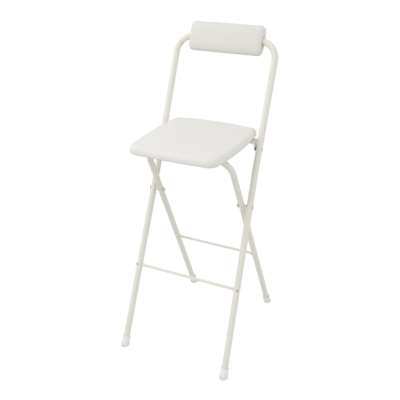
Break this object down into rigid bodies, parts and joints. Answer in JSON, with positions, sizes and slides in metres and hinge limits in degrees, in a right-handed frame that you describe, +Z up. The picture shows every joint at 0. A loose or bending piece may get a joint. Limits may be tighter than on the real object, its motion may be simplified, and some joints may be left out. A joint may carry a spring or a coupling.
{
  "type": "folding bar stool",
  "caption": "Tall folding stool: a bent tube frame is backrest and front legs, a second frame crosses it as rear legs, and the padded seat lifts to fold it flat.",
  "frame": {"origin": "on the floor, under the middle of the stool's bounding box", "axes": "+Z up and the longest extent, -Y towards the front, +X to the right as seen from the front"},
  "size_m": [0.3737, 0.4486, 0.9472],
  "materials": {
    "painted_frame": "semi-gloss warm white powder coat over steel tube",
    "seat_cover": "matt off-white upholstery vinyl with a fine grain",
    "back_cover": "matt off-white upholstery vinyl with a fine grain",
    "foam": "open-cell foam",
    "plywood": "raw birch plywood",
    "lining": "thin pale felt",
    "foot_caps": "moulded soft white plastic",
    "zinc_hardware": "bright zinc plate",
    "painted_bolts": "bolt heads in the frame's colour",
    "spacers": "white nylon",
    "black_nylon": "black nylon"
  },
  "bodies": {
    "root": {"long_frame_tube": "painted_frame", "footrest_rod": "painted_frame", "footrest_screw_left": "zinc_hardware", "footrest_screw_right": "zinc_hardware", "front_foot_left": "foot_caps", "front_foot_right": "foot_caps", "pivot_bolt_left": "painted_bolts", "pivot_bolt_right": "painted_bolts", "pivot_spacer_left": "spacers", "pivot_spacer_right": "spacers", "pivot_washer_left": "zinc_hardware", "pivot_washer_right": "zinc_hardware", "pivot_nut_left": "zinc_hardware", "pivot_nut_right": "zinc_hardware", "hinge_rivet_left": "zinc_hardware", "hinge_rivet_right": "zinc_hardware", "hinge_washer_left": "black_nylon", "hinge_washer_right": "black_nylon", "backrest_foam": "foam", "backrest_cover": "back_cover"},
    "rear_legs": {"rear_leg_tube": "painted_frame", "rear_brace_rod": "painted_frame", "rear_foot_left": "foot_caps", "rear_foot_right": "foot_caps"},
    "seat": {"seat_board": "plywood", "seat_foam": "foam", "seat_cover": "seat_cover", "seat_lining": "lining", "hinge_bracket_left": "zinc_hardware", "hinge_bracket_right": "zinc_hardware", "bracket_screw_left_front": "zinc_hardware", "bracket_screw_left_rear": "zinc_hardware", "bracket_screw_right_front": "zinc_hardware", "bracket_screw_right_rear": "zinc_hardware", "bar_saddle_left": "black_nylon", "bar_saddle_right": "black_nylon", "saddle_screw_left_front": "zinc_hardware", "saddle_screw_left_rear": "zinc_hardware", "saddle_screw_right_front": "zinc_hardware", "saddle_screw_right_rear": "zinc_hardware"}
  },
  "joints": [
    {"name": "seat_hinge", "type": "hinge", "parent": "root", "child": "seat", "pos_m": [0, 0.06284, 0.624], "axis": [-1, 0, 0], "range_deg": [0, 112.5]},
    {"name": "leg_fold", "type": "hinge", "parent": "root", "child": "rear_legs", "pos_m": [0, -0.00517, 0.46831], "axis": [-1, 0, 0], "range_deg": [0, 45]}
  ],
  "couplings": [
    {"joint": "leg_fold", "follows": "seat_hinge", "ratio": 0.4}
  ]
}
